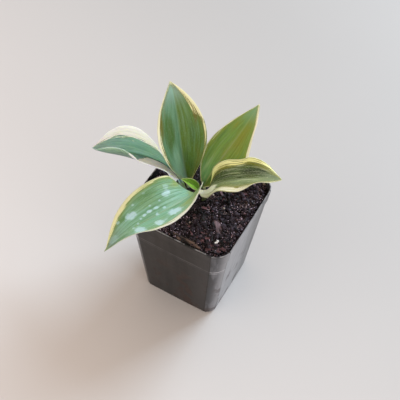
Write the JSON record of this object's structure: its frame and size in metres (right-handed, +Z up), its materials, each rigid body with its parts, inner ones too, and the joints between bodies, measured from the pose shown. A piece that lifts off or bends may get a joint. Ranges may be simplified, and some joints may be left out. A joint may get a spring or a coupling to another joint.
{
  "type": "potted hosta plant",
  "caption": "Young hosta with cream-edged ribbed leaves on channelled stalks, standing in dark compost in a square tapered plastic nursery pot.",
  "frame": {"origin": "centre of the pot's flat underside", "axes": "+Z up out of the pot, the longest extent; the pot's four sides face +X, -X, +Y and -Y; the long front leaf arches over the -Y side and the side leaf over the -X side"},
  "size_m": [0.1567, 0.1596, 0.1842],
  "materials": {
    "pot_plastic": "thin black-grey moulded polypropylene with a soft sheen, dust and scuffs",
    "compost": "damp dark peat-like compost with crumbs, fibres and small bark bits",
    "leaf_blue_green": "waxy blue-green leaf with cream edges and a pale midrib",
    "leaf_sage": "light sage green leaf with cream edges and pale blue-white water spots",
    "leaf_olive": "yellowish olive green leaf with thin cream edges",
    "leaf_young": "bright green young leaf, still rolled up lengthways",
    "bark_tan": "weathered tan bark with a rough grain",
    "bark_pink": "pinkish brown bark with a rough grain",
    "perlite_white": "chalky white expanded mineral grain"
  },
  "bodies": {
    "root": {"pot": "pot_plastic", "soil": "compost", "leaf_back": "leaf_blue_green", "leaf_left": "leaf_blue_green", "leaf_front_left": "leaf_sage", "leaf_back_right": "leaf_olive", "leaf_right": "leaf_olive", "leaf_small_centre": "leaf_young", "bark_chip_front": "bark_tan", "bark_chip_long": "bark_pink", "perlite_grain": "perlite_white"}
  },
  "joints": []
}
